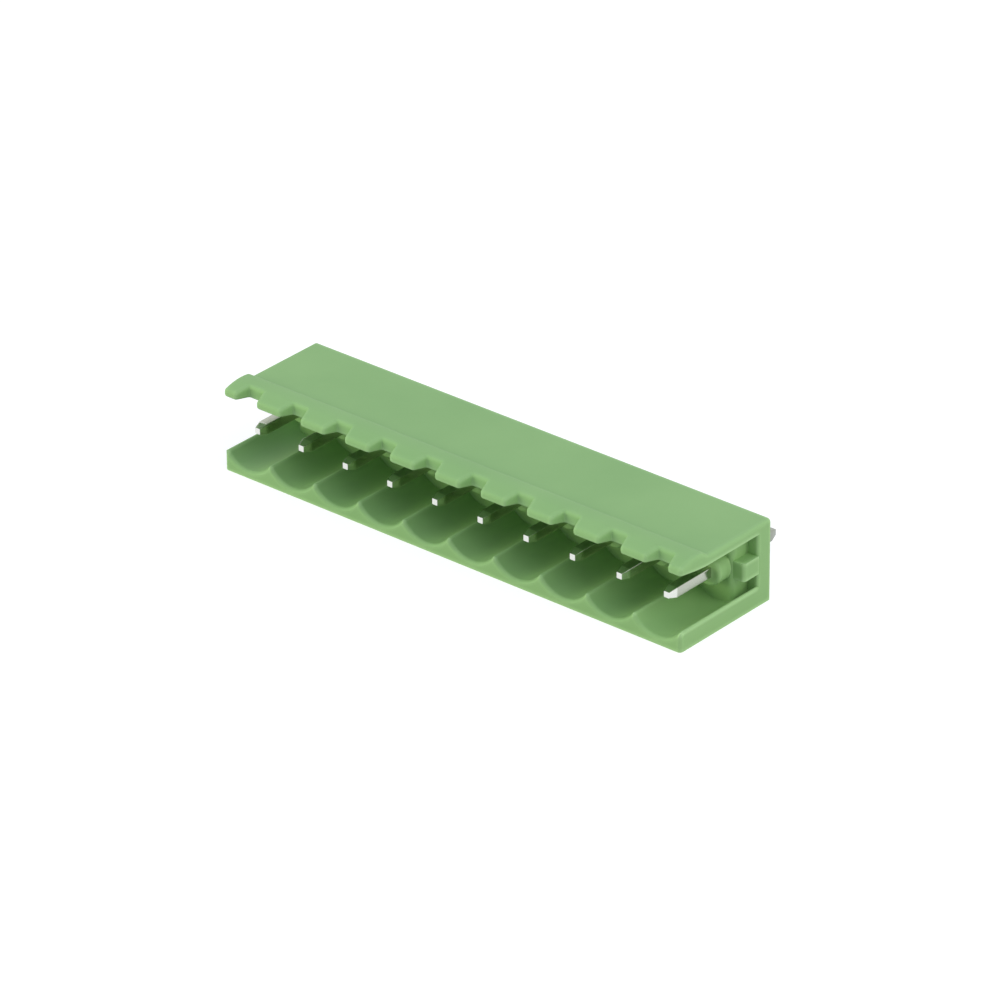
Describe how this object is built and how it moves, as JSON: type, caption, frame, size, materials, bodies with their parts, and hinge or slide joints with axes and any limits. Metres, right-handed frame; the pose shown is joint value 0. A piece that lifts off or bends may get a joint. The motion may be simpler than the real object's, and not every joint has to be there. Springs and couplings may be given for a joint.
{
  "type": "pluggable terminal strip header",
  "caption": "Open-ended board header of a pluggable terminal strip: green moulded housing with notched latch wall, scalloped floor and square pins.",
  "frame": {"origin": "middle of the flat rest face, the outside of the scalloped wall", "axes": "+X along the row of poles, +Y from the plug mouth to the circuit board, +Z from the rest face to the latch wall"},
  "size_m": [0.051, 0.0157, 0.0083],
  "materials": {
    "green_polyamide": "satin moulded polyamide",
    "tinned_contact": "bright tin plating"
  },
  "bodies": {
    "root": {"housing": "green_polyamide", "contact_pin_01": "tinned_contact", "contact_pin_02": "tinned_contact", "contact_pin_03": "tinned_contact", "contact_pin_04": "tinned_contact", "contact_pin_05": "tinned_contact", "contact_pin_06": "tinned_contact", "contact_pin_07": "tinned_contact", "contact_pin_08": "tinned_contact", "contact_pin_09": "tinned_contact", "contact_pin_10": "tinned_contact"}
  },
  "joints": []
}
